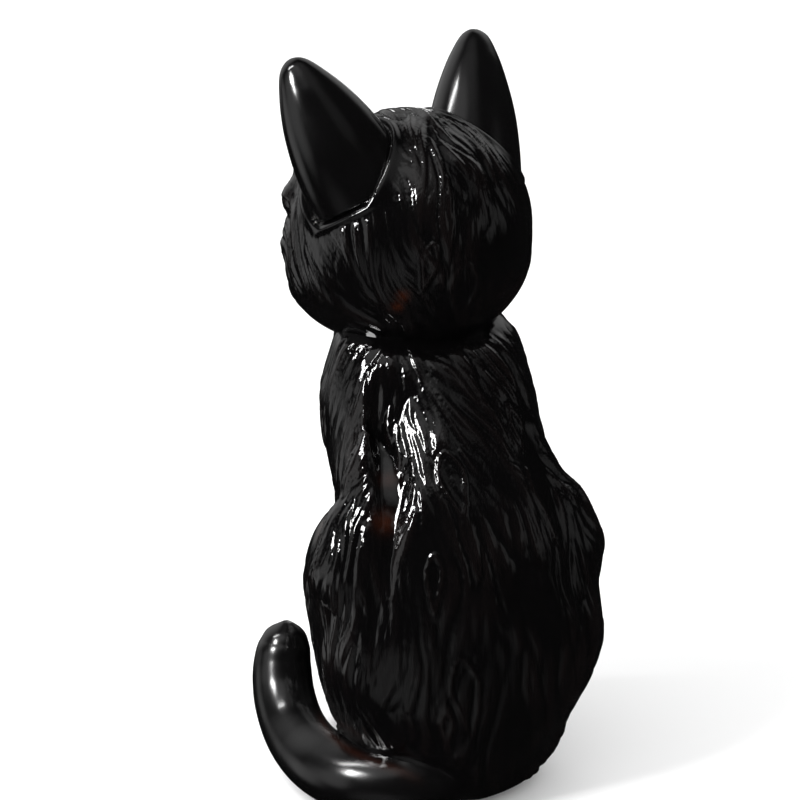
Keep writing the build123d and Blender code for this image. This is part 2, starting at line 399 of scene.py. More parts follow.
def skull(p):
    """Head casting: round skull, cheeks, brows, bridge, lids, the ears' roots and side tufts."""
    q = both(p)
    d = ellipsoid(p, (0, 0, 0), SKULL)
    cheek = ellipsoid(q, (19.0, -9.0, -13.0), (18.0, 18.2, 17.2))
    d = join(d, cheek, 7.0)
    brow = ellipsoid(q, (13.5, -30.5, 11.5), (10.0, 8.0, 5.0), yaw=18)
    d = join(d, brow, 5.0)
    bridge = rod(p, (0, -33.0, 12.0), (0, -39.6, -3.5), 5.4, 4.0)
    d = join(d, bridge, 6.0)
    socket = ellipsoid(q, (14.0, -40.0, 2.6), (9.0, 5.4, 7.0), yaw=EYE_YAW)
    d = cut(d, socket, 3.5)
    d = join(d, lids(p), 1.6)
    rim = ear_cone(q)
    on_side = ease(q @ np.array((0.0, 1.0, -0.25)), -26.0, -6.0)
    d = d - 0.95 * np.exp(-((rim - 1.9) / 1.0) ** 2) * on_side
    d = d + 0.9 * np.exp(-((rim - 0.3) / 0.6) ** 2)
    tuft = rod(q, (25.5, -19.5, 17.5), (29.6, -21.8, 10.4), 5.4, 4.6)
    tuft = np.minimum(tuft, rod(q, (26.0, -20.0, 2.5), (29.6, -22.2, -5.0), 6.0, 4.4))
    d = join(d, tuft, 4.5)
    return d


def muzzle(p):
    """Whisker pads and chin, with the groove between the pads."""
    q = both(p)
    pad = ellipsoid(q, (7.2, -36.5, -11.5), (10.0, 9.8, 8.2))
    chin = ellipsoid(p, (0, -33.5, -20.0), (9.0, 8.5, 6.4))
    d = join(pad, chin, 1.6)
    groove = rod(p, (0, -49.0, -6.0), (0, -48.5, -15.0), 1.9, 1.9)
    return cut(d, groove, 1.2)


HEAD_PARTS = {"skull": skull, "muzzle": muzzle}
HEAD_FILLET = {"muzzle": lambda p: 5.0}


def nose(p):
    """Nose sprig with its nostrils."""
    q = both(p)
    d = ellipsoid(p, (0, -43.3, -5.6), (3.4, 3.6, 3.2))
    d = join(d, ellipsoid(q, (2.6, -43.2, -4.2), (2.4, 3.2, 2.1)), 1.4)
    nostril = ellipsoid(q, (2.5, -46.6, -5.5), (1.0, 1.5, 0.75), yaw=20)
    return cut(d, nostril, 0.7)


def eye(p):
    """Left eye, a little smaller than its socket."""
    return ellipsoid(p, EYE_AT, EYE_R - 0.1, yaw=EYE_YAW)


# ---- meshes from fields -------------------------------------------------------------------------
BATCH = 400000           # points worked out at a time


def in_batches(field, p):
    """Field values at many points, without needing the memory for all of them at once."""
    return np.concatenate([field(p[i:i + BATCH]) for i in range(0, len(p), BATCH)])


def lattice(field, low, high, step):
    """Field values at every lattice point, worked out only near the surface."""
    low = np.asarray(low, float)
    block = 4 * step
    n = np.ceil((np.asarray(high, float) - low) / block).astype(int) + 1
    grid = np.stack(np.meshgrid(*[np.arange(k) for k in n], indexing="ij"), -1).reshape(-1, 3)
    middle = low + (grid + 0.375) * block
    rough = in_batches(field, middle)
    values = np.repeat(np.repeat(np.repeat(rough.reshape(n), 4, 0), 4, 1), 4, 2).astype(np.float32)
    near = np.abs(rough) < 1.7 * block
    inner = np.stack(np.meshgrid(*[np.arange(4)] * 3, indexing="ij"), -1).reshape(-1, 3)
    at = (grid[near][:, None, :] * 4 + inner).reshape(-1, 3)
    values[at[:, 0], at[:, 1], at[:, 2]] = in_batches(field, low + at * step)
    return values


def nets(values, low, step):
    """Quads of the zero surface of the lattice: vertices and faces."""
    inside = values < 0
    nx, ny, nz = values.shape
    corner = [(a, b, c) for a in (0, 1) for b in (0, 1) for c in (0, 1)]
    total = np.zeros((nx - 1, ny - 1, nz - 1), np.int8)
    for a, b, c in corner:
        total += inside[a:nx - 1 + a, b:ny - 1 + b, c:nz - 1 + c]
    cells = np.argwhere((total > 0) & (total < 8))
    number = np.full(total.shape, -1, np.int32)
    number[cells[:, 0], cells[:, 1], cells[:, 2]] = np.arange(len(cells))
    f = np.stack([values[cells[:, 0] + a, cells[:, 1] + b, cells[:, 2] + c] for a, b, c in corner], 1)
    spot = np.zeros((len(cells), 3))
    count = np.zeros(len(cells))
    offs = np.array(corner, float)
    for i in range(8):
        for j in range(i + 1, 8):
            if abs(offs[i] - offs[j]).sum() != 1:
                continue
            crossed = (f[:, i] < 0) != (f[:, j] < 0)
            t = f[crossed, i] / (f[crossed, i] - f[crossed, j])
            spot[crossed] += offs[i] + t[:, None] * (offs[j] - offs[i])
            count[crossed] += 1
    verts = np.asarray(low, float) + (cells + spot / count[:, None]) * step
    faces = []
    for axis in range(3):
        u, v = (axis + 1) % 3, (axis + 2) % 3
        a = [slice(1, -1)] * 3
        b = [slice(1, -1)] * 3
        a[axis], b[axis] = slice(0, -1), slice(1, None)
        first, second = inside[tuple(a)], inside[tuple(b)]
        edge = np.argwhere(first != second)
        out = first[edge[:, 0], edge[:, 1], edge[:, 2]]
        base = edge + 1
        base[:, axis] -= 1
        ring = []
        for du, dv in ((-1, -1), (0, -1), (0, 0), (-1, 0)):
            at = base.copy()
            at[:, u] += du
            at[:, v] += dv
            ring.append(number[at[:, 0], at[:, 1], at[:, 2]])
        ring = np.stack(ring, 1)
        ring[~out] = ring[~out][:, ::-1]
        faces.append(ring)
    return verts, np.concatenate(faces)


def slopes(field, p, e=0.04):
    """Field value and gradient at points, from four samples around each."""
    ways = np.array(((1, 1, 1), (1, -1, -1), (-1, 1, -1), (-1, -1, 1)), float)
    f = [field(p + e * w) for w in ways]
    gradient = sum(v[:, None] * w for v, w in zip(f, ways)) / (4 * e)
    return sum(f) / 4, gradient


def settle(field, verts, faces, rounds=3):
    """Evens out the vertices along the surface and puts them on it."""
    a = np.concatenate([faces[:, i] for i in range(4)])
    b = np.concatenate([faces[:, (i + 1) % 4] for i in range(4)])
    n = len(verts)
    degree = np.bincount(a, minlength=n) + np.bincount(b, minlength=n)
    for turn in range(rounds):
        mean = np.stack([np.bincount(a, verts[b, k], n) + np.bincount(b, verts[a, k], n)
                         for k in range(3)], 1) / degree[:, None]
        verts = verts + 0.6 * (mean - verts)
        for _ in range(1 if turn < rounds - 1 else 2):
            value, g = slopes(field, verts)
            size = (g ** 2).sum(1) + 1e-6
            step = np.clip(value / size, -1.0, 1.0)
            verts = verts - step[:, None] * g
    _, g = slopes(field, verts)
    return verts, g / (np.linalg.norm(g, axis=1)[:, None] + 1e-9)


def sculpt(field, low, high, step, rounds=3):
    """Even quad mesh of a field's zero surface in a box: vertices, faces and normals."""
    values = lattice(field, low, high, step)
    verts, faces = nets(values, low, step)
    verts, normals = settle(field, verts, faces, rounds)
    return verts, faces, normals


# ---- carved fur ----------------------------------------------------------------------------------
BODY_FUR = 11            # one seed for the fur of the body, so that it runs on from piece to piece
HEAD_FLOW, HEAD_FUR = 61, 62
SINK = 0.45              # share of the relief by which carved fur is lowered, to keep the outline


def grains(p, size, seed, period=40):
    """Smooth lattice noise with features of the given size, about -1 to 1."""
    table = np.random.default_rng(seed).uniform(-1, 1, (period,) * 3)
    q = p / size
    i = np.floor(q).astype(int)
    f = q - i
    f = f * f * (3 - 2 * f)
    total = 0.0
    for a in (0, 1):
        for b in (0, 1):
            for c in (0, 1):
                share = (np.abs(1 - a - f[:, 0]) * np.abs(1 - b - f[:, 1]) * np.abs(1 - c - f[:, 2]))
                at = (i + (a, b, c)) % period
                total = total + share * table[at[:, 0], at[:, 1], at[:, 2]]
    return total


def bins(verts, values, cell):
    """Averages of values in cubes of space: the low corner, the cube counts and the averages."""
    low = verts.min(0) - cell
    size = np.ceil((verts.max(0) - low) / cell).astype(int) + 2
    at = np.floor((verts - low) / cell).astype(int)
    key = (at[:, 0] * size[1] + at[:, 1]) * size[2] + at[:, 2]
    count = np.bincount(key, minlength=size.prod())
    mean = np.stack([np.bincount(key, values[:, k], size.prod()) for k in range(values.shape[1])], 1)
    return low, size, mean / np.maximum(count, 1)[:, None], count > 0


def strands(verts, normals, flow, size, reach, seed, cell=2.2):
    """Noise drawn out along the flow: streaks of the given width that follow its curves."""
    low, dims, mean, filled = bins(verts, np.concatenate([verts, normals, flow], 1), cell)
    total = grains(verts, size, seed)
    weight = np.ones(len(verts))
    steps = int(reach / (0.5 * size)) + 1
    for sign in (1.0, -1.0):
        p, way = verts.copy(), flow * sign
        for k in range(1, steps + 1):
            p = p + way * reach / steps
            at = np.clip(np.floor((p - low) / cell).astype(int), 0, dims - 1)
            key = (at[:, 0] * dims[1] + at[:, 1]) * dims[2] + at[:, 2]
            known = filled[key]
            here = mean[key]
            n = here[:, 3:6] / (np.linalg.norm(here[:, 3:6], axis=1)[:, None] + 1e-6)
            off = ((p - here[:, :3]) * n).sum(1)[:, None] * n
            p = np.where(known[:, None], p - off, p)
            new = here[:, 6:9] * sign
            new = new - n * (new * n).sum(1)[:, None]
            new /= np.linalg.norm(new, axis=1)[:, None] + 1e-6
            way = np.where(known[:, None], new, way)
            share = 0.5 + 0.5 * math.cos(math.pi * k / (steps + 1))
            total += share * grains(p, size, seed)
            weight += share
    total = total / weight
    return total / total.std()


def leaf(verts, height, top, tip, wide):
    """Presses one pointed lock with a raised edge into the fur's height, from its top to its tip."""
    way = tip - top
    along = (verts - top) @ way / (way @ way)
    off = np.linalg.norm(verts - top - along[:, None] * way, axis=1)
    t = np.clip(along, 0.0, 1.0)
    half = wide * np.clip(t * 3.2, 0.0, 1.0) ** 0.6 * np.clip((1 - t) * 1.7, 0.0, 1.0) ** 0.8 + 0.05
    there = ease(along, -0.06, 0.02) * (1 - ease(along, 0.98, 1.06))
    edge = np.exp(-((off - half) / 0.6) ** 2) * there
    inner = ease(half - off, 0.2, 1.4) * there
    height = height * (1 - 0.3 * inner) * (1 - 0.4 * np.exp(-((off - half - 1.5) / 0.7) ** 2) * there)
    return np.maximum(height, edge * 0.95)


def carve(verts, normals, flow, much, seed, relief, locks=(), size=2.3, reach=14.0):
    """Height of carved fur: long wavy locks with rounded backs and sharp grooves between them."""
    broad = strands(verts, normals, flow, size * 1.45, reach * 1.25, seed)
    fine = strands(verts, normals, flow, size * 0.78, reach, seed + 1)
    lock = np.minimum(np.abs(broad) / 1.3, 1.0) ** 0.75
    hair = np.minimum(np.abs(fine) / 1.2, 1.0) ** 0.8
    height = 0.52 * lock + 0.48 * hair * (0.4 + 0.6 * lock)
    height = height * (0.85 + 0.3 * waves(verts, 30.0, seed + 2))
    for top, tip, wide in locks:
        height = leaf(verts, height, np.array(top), np.array(tip), wide)
    return relief * np.clip(height, 0, 1.3) * much


def downward(verts, normals, seed, wobble=18.0, pull=(0.0, 0.0, -1.0)):
    """Directions in which wet fur would lie over the surface under a pull, with a slow sway."""
    pull = np.array(pull)
    down = pull - normals * (normals @ pull)[:, None]
    flat = np.linalg.norm(down, axis=1)
    down = down / (flat[:, None] + 1e-6)
    turn = np.radians(wobble) * waves(verts, 26.0, seed)
    side = np.cross(normals, down)
    return down * np.cos(turn)[:, None] + side * np.sin(turn)[:, None]


def swept(verts, normals, flow):
    """Fur of the upper back, combed over towards the cat's right as it runs down."""
    aside = np.array((-1.0, 0.0, 0.0)) - normals * -normals[:, 0:1]
    push = 0.5 * ease(verts[:, 2], 88.0, 116.0)
    push = push * ease(22.0 - verts[:, 0], 0.0, 8.0) * ease(verts[:, 1], -12.0, 2.0)
    flow = flow + push[:, None] * aside
    return flow / (np.linalg.norm(flow, axis=1)[:, None] + 1e-6)


# ---- Blender objects -------------------------------------------------------------------------------
def add_mesh(name, verts, faces, values=None, caps=()):
    """New smooth-shaded mesh object from places in millimetres, with named values per vertex."""
    mesh = bpy.data.meshes.new(name)
    mesh.from_pydata((verts * MM).tolist(), [], faces.tolist() + list(caps))
    mesh.polygons.foreach_set("use_smooth", [True] * len(mesh.polygons))
    for key, value in (values or {}).items():
        layer = mesh.attributes.new(key, "FLOAT", "POINT")
        layer.data.foreach_set("value", np.asarray(value, np.float32))
    mesh.update()
    piece = bpy.data.objects.new(name, mesh)
    bpy.context.scene.collection.objects.link(piece)
    return piece


def to_world(p):
    """From the head's own directions to the frame: first the lean, then the turn."""
    c, s = math.cos(HEAD_ROLL), math.sin(HEAD_ROLL)
    x, y, z = c * p[:, 0] - s * p[:, 2], p[:, 1], s * p[:, 0] + c * p[:, 2]
    c, s = math.cos(HEAD_TURN), math.sin(HEAD_TURN)
    return np.stack([c * x - s * y, s * x + c * y, z], 1) + HEAD_C


def mirrored(verts, faces):
    """The same mesh on the other side, with its faces still turned outward."""
    return verts * np.array((-1.0, 1.0, 1.0)), faces[:, ::-1]


def take_place(piece, node, slot, material):
    """Gives a piece its name and finish, and puts it in the place of its CAD node."""
    piece.name = piece.data.name = node + ("_clay" if slot == "bare_clay" else "_glazed")
    piece.data.materials.append(material)
    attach(piece, "root")
    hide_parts(node)
    return piece


# ---- materials ---------------------------------------------------------------------------------------
def add_node(tree, kind, inputs=None, **settings):
    """New shader node with its settings and its fixed inputs."""
    node = tree.nodes.new("ShaderNode" + kind)
    for key, value in settings.items():
        setattr(node, key, value)
    for key, value in (inputs or {}).items():
        node.inputs[key].default_value = value
    return node


def new_material(name, **inputs):
    """New material, its node tree and its shader, with plain values set on the shader."""
    material = bpy.data.materials.new(name)
    material.use_nodes = True
    shader = material.node_tree.nodes["Principled BSDF"]
    for key, value in inputs.items():
        shader.inputs[key.replace("_", " ")].default_value = value
    return material, material.node_tree, shader


def own_place(tree):
    """Places in the object's own directions."""
    return add_node(tree, "TexCoord").outputs["Object"]


def noise(tree, place, scale, detail):
    node = add_node(tree, "TexNoise", {"Scale": scale, "Detail": detail})
    tree.links.new(place, node.inputs["Vector"])
    return node.outputs["Fac"]


def per_vertex(tree, name):
    return add_node(tree, "Attribute", attribute_name=name).outputs["Fac"]


def times(tree, a, b):
    node = add_node(tree, "Math", operation="MULTIPLY")
    tree.links.new(a, node.inputs[0])
    tree.links.new(b, node.inputs[1])
    return node.outputs[0]


def times_plus(tree, a, factor, b):
    """a times a plain factor, plus b."""
    node = add_node(tree, "Math", {1: factor}, operation="MULTIPLY_ADD")
    tree.links.new(a, node.inputs[0])
    tree.links.new(b, node.inputs[2])
    return node.outputs[0]


def shades(tree, factor, *stops):
    """Colour that runs through the stops, each a place from 0 to 1 and a colour."""
    node = add_node(tree, "ValToRGB")
    elements = node.color_ramp.elements
    for k, (at, shade) in enumerate(stops):
        stop = elements[k] if k < 2 else elements.new(at)
        stop.position, stop.color = at, (*shade, 1)
    tree.links.new(factor, node.inputs["Fac"])
    return node.outputs["Color"]


def bump(tree, height, strength, distance, under=None, invert=False):
    """Surface direction with a fine relief, on top of another one if that is given."""
    node = add_node(tree, "Bump", {"Strength": strength, "Distance": distance}, invert=invert)
    tree.links.new(height, node.inputs["Height"])
    if under:
        tree.links.new(under, node.inputs["Normal"])
    return node.outputs["Normal"]


def black_glaze():
    """Gloss black glaze, a shade browner on the fur's ridges where it runs thin, with a warm brown
    reflection painted into the colour at a few hollows, and satin on the smooth tail and ears.
    """
    material, tree, shader = new_material("black_glaze", IOR=1.62)
    place = own_place(tree)
    cloud = noise(tree, place, 45.0, 3.0)
    black = shades(tree, times(tree, per_vertex(tree, "ridge"), cloud),
                   (0.15, (0.0012, 0.0011, 0.0012)), (0.75, (0.0036, 0.0026, 0.0026)))
    # Painted reflection: warm brown mixed into the base colour at the hollows marked per vertex.
    warm = add_node(tree, "Mix", data_type="RGBA")
    warm.inputs["B"].default_value = (0.028, 0.0065, 0.0022, 1)
    tree.links.new(times(tree, per_vertex(tree, "painted_reflection"), cloud), warm.inputs["Factor"])
    tree.links.new(black, warm.inputs["A"])
    tree.links.new(warm.outputs["Result"], shader.inputs["Base Color"])
    gloss = add_node(tree, "MapRange", {"From Min": 0.3, "From Max": 0.75, "To Min": 0.03, "To Max": 0.10})
    tree.links.new(cloud, gloss.inputs["Value"])
    rough = times_plus(tree, per_vertex(tree, "satin"), 0.16, gloss.outputs["Result"])
    tree.links.new(rough, shader.inputs["Roughness"])
    peel = bump(tree, noise(tree, place, 260.0, 2.0), 0.25, 0.00012)
    drawn = add_node(tree, "Mapping", {"Scale": (900.0, 900.0, 110.0)})
    tree.links.new(place, drawn.inputs["Vector"])
    hairs = times(tree, noise(tree, drawn.outputs["Vector"], 1.0, 2.0), per_vertex(tree, "fur"))
    tree.links.new(bump(tree, hairs, 0.32, 0.0003, under=peel), shader.inputs["Normal"])
    return material


def bare_clay():
    """Dry, pale, unglazed clay with fine grog."""
    material, tree, shader = new_material("bare_clay", Roughness=0.85)
    grog = noise(tree, own_place(tree), 900.0, 4.0)
    colour = shades(tree, grog, (0.35, (0.60, 0.50, 0.40)), (0.6, (0.80, 0.74, 0.66)))
    tree.links.new(colour, shader.inputs["Base Color"])
    tree.links.new(bump(tree, grog, 0.5, 0.0001), shader.inputs["Normal"])
    return material


def nose_glaze():
    """Satin black-brown glaze with a fine pebble grain."""
    material, tree, shader = new_material("nose_glaze", Roughness=0.32, IOR=1.5)
    grain = add_node(tree, "TexVoronoi", {"Scale": 1700.0})
    tree.links.new(own_place(tree), grain.inputs["Vector"])
    pebble = grain.outputs["Distance"]
    colour = shades(tree, pebble, (0.0, (0.030, 0.020, 0.018)), (1.0, (0.012, 0.009, 0.009)))
    tree.links.new(colour, shader.inputs["Base Color"])
    tree.links.new(bump(tree, pebble, 0.35, 0.00015, invert=True), shader.inputs["Normal"])
    return material


def eye_glaze():
    """Amber eye: dark slit pupil, golden ring, darker rim, under a clear gloss."""
    material, tree, shader = new_material("eye_glaze", Roughness=0.08, IOR=1.5, Coat_Weight=1.0,
                                          Coat_Roughness=0.02)
    fibres = noise(tree, own_place(tree), 700.0, 4.0)
    stirred = times_plus(tree, fibres, 0.10, per_vertex(tree, "iris"))
    colour = shades(tree, stirred, (0.22, (0.004, 0.003, 0.002)), (0.28, (0.62, 0.36, 0.05)),
                    (0.55, (0.55, 0.24, 0.02)), (0.82, (0.20, 0.08, 0.01)), (0.95, (0.02, 0.01, 0.005)))
    tree.links.new(colour, shader.inputs["Base Color"])
    return material


GLAZE = black_glaze()
CLAY = bare_clay()
NOSE = nose_glaze()
EYE = eye_glaze()


# ---- pieces ------------------------------------------------------------------------------------------
# Locks that stand out in the fur of the back and the nape: top, tip and half width.
BACK_LOCKS = (
    ((9.7, 49.0, 61.0), (4.9, 48.0, 32.0), 4.6), ((24.0, 43.0, 58.0), (20.0, 43.0, 34.0), 3.2),
    ((14.0, 47.5, 47.0), (12.0, 43.5, 22.0), 2.6), ((8.0, 26.5, 122.0), (5.0, 39.5, 104.0), 4.0),
    ((-16.0, 14.0, 131.0), (-23.5, 25.5, 112.0), 2.4), ((-19.0, 26.0, 113.0), (-25.5, 38.0, 91.5), 2.2),
    ((16.0, 42.5, 96.0), (17.5, 46.5, 76.0), 2.4),
)
NAPE_LOCKS = (((8.0, 38.6, 1.0), (6.0, 33.5, -20.0), 5.0), ((17.0, 34.5, 8.0), (20.0, 33.0, -8.0), 2.6))
# Places in hollows where a warm brown reflection is painted into the glaze's colour: centre and reach.
PAINTED_REFLECTION_BODY = (
    ((24.5, 22.0, 113.5), 2.6), ((28.0, 28.5, 101.5), 3.2), ((41.0, 9.0, 93.5), 4.0),
    ((-41.0, 9.0, 93.5), 4.0), ((-46.5, 18.0, 82.0), 3.2),
)
PAINTED_REFLECTION_HEAD = (((24.9, 29.4, -9.6), 1.9), ((25.6, 27.5, -13.5), 1.7))


def painted_reflection_share(verts, places):
    """How much warm brown reflection is painted at each vertex, 0 to 1."""
    total = np.zeros(len(verts))
    for centre, reach in places:
        total += np.exp(-((verts - np.array(centre)) ** 2).sum(1) / reach ** 2)
    return np.clip(total, 0.0, 1.0)


def torso_density(v):
    """How deep the fur is carved on the body: bare in the valleys and faded at neck, hem and tail."""
    q = both(v)
    clear = 1 - 0.92 * ease(valley_share(q) * np.minimum(along_z(q[:, 2], VALLEY, 3), 2.0), 1.1, 1.95)
    foot = ease(v[:, 2] - hem(v), 0.0, 1.6) * ease(tail_form(v), 0.5, 7.0)
    return clear * foot * (1 - ease(v[:, 2], 145.0, 149.5))


def thigh_density(v):
    """Fur of the haunches: nearly bare in front of the flank panel at the top, faded at the tail."""
    bare = ease(v[:, 2], 78.0, 90.0) * (1 - ease(v[:, 1] - along_z(v[:, 2], FLANK, 1), -1.0, 1.0))
    return (1 - 0.85 * bare) * ease(v[:, 2], 30.0, 36.0) * ease(tail_form(v), 0.5, 7.0)


def leg_density(v):
    return 0.85 * ease(v[:, 2], 16.0, 34.0)


def paw_density(v):
    return np.zeros(len(v))


def body_piece(name, node, low, high, step, density, relief=1.25, mirror=False, trim=None, locks=()):
    """One piece of the body: sculpted within a box, trimmed, mirrored if asked, carved and glazed."""
    def field(p):
        d = part_of(BODY_PARTS, BODY_FILLET, name, p)
        return trim(d, p) if trim else d

    verts, faces, normals = sculpt(field, low, high, step)
    if mirror:
        verts, faces = mirrored(verts, faces)
        normals = normals * np.array((-1.0, 1.0, 1.0))
    flow = swept(verts, normals, downward(verts, normals, BODY_FUR))
    much = density(verts)
    height = carve(verts, normals, flow, much, BODY_FUR, relief, locks)
    verts = verts + normals * (height - SINK * relief * much)[:, None]
    verts[:, 2] = np.maximum(verts[:, 2], 0.0)
    # Per-vertex values: ridge height, a painted warm reflection at the listed hollows, and fur depth.
    values = {"ridge": np.clip(height / relief, 0, 1), "painted_reflection": painted_reflection_share(verts, PAINTED_REFLECTION_BODY), "fur": much}
    piece = add_mesh(node, verts, faces, values)
    return take_place(piece, node, "black_glaze", GLAZE)


def add_body():
    body_piece("torso", "torso_shell", (-52, -50, -2), (52, 56, 153), 0.8, torso_density,
               trim=lambda d, p: cut(d, plate_recess(p), 0.5), locks=BACK_LOCKS)
    for side, mirror in (("left", False), ("right", True)):
        body_piece("haunch", "haunch_" + side, (4, -20, 20), (56, 50, 100), 0.7, thigh_density,
                   mirror=mirror)
        body_piece("foreleg", "foreleg_" + side, (-2, -68, -2), (32, -12, 126), 0.7, leg_density,
                   relief=0.8, mirror=mirror, trim=lambda d, p: cut(d, p[:, 0] - 0.02, 1.2))
        body_piece("hind_paw", "hind_paw_" + side, (4, -46, -2), (36, 4, 20), 0.55, paw_density,
                   mirror=mirror)


def head_flow(v, n, seed):
    """Fur runs down over the skull, and out from the nose over the face."""
    down = downward(v, n, seed, 16.0, pull=(0.0, 0.5, -0.86))
    out = v - np.array((0.0, -42.0, -2.0))
    out = out - n * (out * n).sum(1)[:, None]
    out /= np.linalg.norm(out, axis=1)[:, None] + 1e-6
    face = ease(-v[:, 1], 12.0, 24.0)[:, None]
    mix = down * (1 - face) + out * face
    return mix / (np.linalg.norm(mix, axis=1)[:, None] + 1e-6)


def head_density(v):
    """Fur of the head: none on the ears' roots, around the eyes and nose, and at the neck."""
    across, _, up = eye_plane(v)
    off_eye = np.sqrt((across / 10.5) ** 2 + (up / 8.5) ** 2) + ease(v[:, 1], -25.0, -18.0) * 5
    off_nose = np.sqrt(((v - np.array((0, -40, -5.0))) ** 2).sum(1))
    by_neck = ease(to_world(v)[:, 2], 151.0, 155.0)
    by_ear = ease(ear_cone(both(v)), 2.2, 5.0)
    return by_ear * ease(off_eye, 0.9, 1.3) * ease(off_nose, 8.0, 13.0) * by_neck


def add_skull(relief=1.15):
    def field(p):
        return part_of(HEAD_PARTS, HEAD_FILLET, "skull", p)

    verts, faces, normals = sculpt(field, (-46, -50, -44), (46, 46, 46), 0.6)
    much = head_density(verts)
    flow = head_flow(verts, normals, HEAD_FLOW)
    height = carve(verts, normals, flow, much, HEAD_FUR, relief, NAPE_LOCKS)
    lift = height - SINK * relief * much
    # Per-vertex values: ridge height, a painted warm reflection at the nape crevice, and fur depth.
    values = {"ridge": np.clip(height / relief, 0, 1), "painted_reflection": painted_reflection_share(verts, PAINTED_REFLECTION_HEAD), "fur": much}
    piece = add_mesh("head_shell", to_world(verts + normals * lift[:, None]), faces, values)
    take_place(piece, "head_shell", "black_glaze", GLAZE)


def add_muzzle():
    def field(p):
        return part_of(HEAD_PARTS, HEAD_FILLET, "muzzle", p)

    verts, faces, _ = sculpt(field, (-22, -52, -32), (22, -18, 2), 0.45)
    take_place(add_mesh("muzzle", to_world(verts), faces), "muzzle", "black_glaze", GLAZE)


def add_nose():
    verts, faces, _ = sculpt(nose, (-8, -50, -12), (8, -36, 1), 0.3)
    take_place(add_mesh("nose", to_world(verts), faces), "nose", "nose_glaze", NOSE)


def add_pair(name, verts, faces, values, slot, material):
    """Left piece of the head and its mirror image on the right."""
    for side, (v, f) in (("left", (verts, faces)), ("right", mirrored(verts, faces))):
        node = name + "_" + side
        take_place(add_mesh(node, to_world(v), f, values), node, slot, material)


def add_ears():
    verts, faces, _ = sculpt(ear, (-4, -40, 2), (50, 34, 66), 0.55, rounds=5)
    add_pair("ear", verts, faces, {"satin": np.full(len(verts), 0.6)}, "black_glaze", GLAZE)


def add_eyes():
    verts, faces, _ = sculpt(eye, (2, -46, -8), (26, -24, 14), 0.35)
    across, _, up = eye_plane(verts)
    slit = np.abs(across) / np.maximum(1.5 * (1 - (up / 6.2) ** 2), 0.05) * 0.2
    ring = np.sqrt(across ** 2 + up ** 2) / 6.4
    amber = np.maximum(np.minimum(slit, 0.34), 0.3 + 0.65 * np.clip(ring, 0, 1))
    add_pair("eye", verts, faces, {"iris": np.where(slit < 0.24, slit, amber)}, "eye_glaze", EYE)


def tail_rings(rings, around):
    """Points of the tail's rings and their outward directions, each rings by around by 3."""
    knots = np.concatenate([[0], np.cumsum(np.linalg.norm(np.diff(TAIL[:, :3], axis=0), axis=1))])
    fine = smooth_table(np.concatenate([knots[:, None], TAIL], 1), 600)
    tip_rings = 60
    t = np.concatenate([np.linspace(0, 0.9, rings - tip_rings, endpoint=False),
                        1 - 0.1 * (1 - np.linspace(0, 1, tip_rings)) ** 1.6]) * knots[-1]
    mid = np.stack([np.interp(t, fine[:, 0], fine[:, k]) for k in (1, 2, 3)], 1)
    r = np.interp(t, fine[:, 0], fine[:, 4])
    r[-1] = 0.02
    way = np.gradient(mid, t, axis=0)
    way /= np.linalg.norm(way, axis=1)[:, None]
    side = np.zeros_like(way)
    side[0] = np.cross(way[0], (0, 0, 1.0))
    side[0] /= np.linalg.norm(side[0])
    for i in range(1, len(t)):
        level = side[i - 1] - way[i] * (side[i - 1] @ way[i])
        side[i] = level / np.linalg.norm(level)
    other = np.cross(way, side)
    angle = np.linspace(0, 2 * math.pi, around, endpoint=False)
    c, s = np.cos(angle)[None, :, None], np.sin(angle)[None, :, None]
    out = c * side[:, None, :] + s * other[:, None, :]
    return mid[:, None, :] + out * r[:, None, None], out


def ring_faces(n, around, closed=False):
    """Quads between neighbouring rings of points, and from the last ring to the first if closed."""
    i, j = np.meshgrid(np.arange(n if closed else n - 1), np.arange(around), indexing="ij")
    k, m = (j + 1) % around, (i + 1) % n
    return np.stack([i * around + j, i * around + k, m * around + k, m * around + j], -1).reshape(-1, 4)


def add_tail(rings=300, around=120):
    """Smooth tapering coil with a rounded tip, with a fillet of slip where it meets the body."""
    verts, out = tail_rings(rings, around)
    verts, out = verts.reshape(-1, 3), out.reshape(-1, 3)
    away = np.minimum(torso(verts), haunch(verts))
    # Painted warm reflection: a band of warm brown on the tail's side facing the body, about 4 mm out from
    # it.
    beside = ease(verts[:, 0], 18.0, 30.0) * ease(verts[:, 2], 12.0, 18.0)
    painted_reflection = np.exp(-((away - 4.2) / 1.6) ** 2) * beside
    near = np.maximum(TAIL_FILLET - np.abs(away), 0.0) / TAIL_FILLET
    verts = verts + out * (near ** 2 * TAIL_FILLET * 0.25)[:, None]
    verts[:, 2] = np.maximum(verts[:, 2], 0.0)
    last = (rings - 1) * around
    caps = [list(range(around))[::-1], list(range(last, last + around))]
    values = {"painted_reflection": 0.8 * painted_reflection, "satin": np.ones(len(verts))}
    piece = add_mesh("tail", verts, ring_faces(rings, around), values, caps)
    take_place(piece, "tail", "black_glaze", GLAZE)


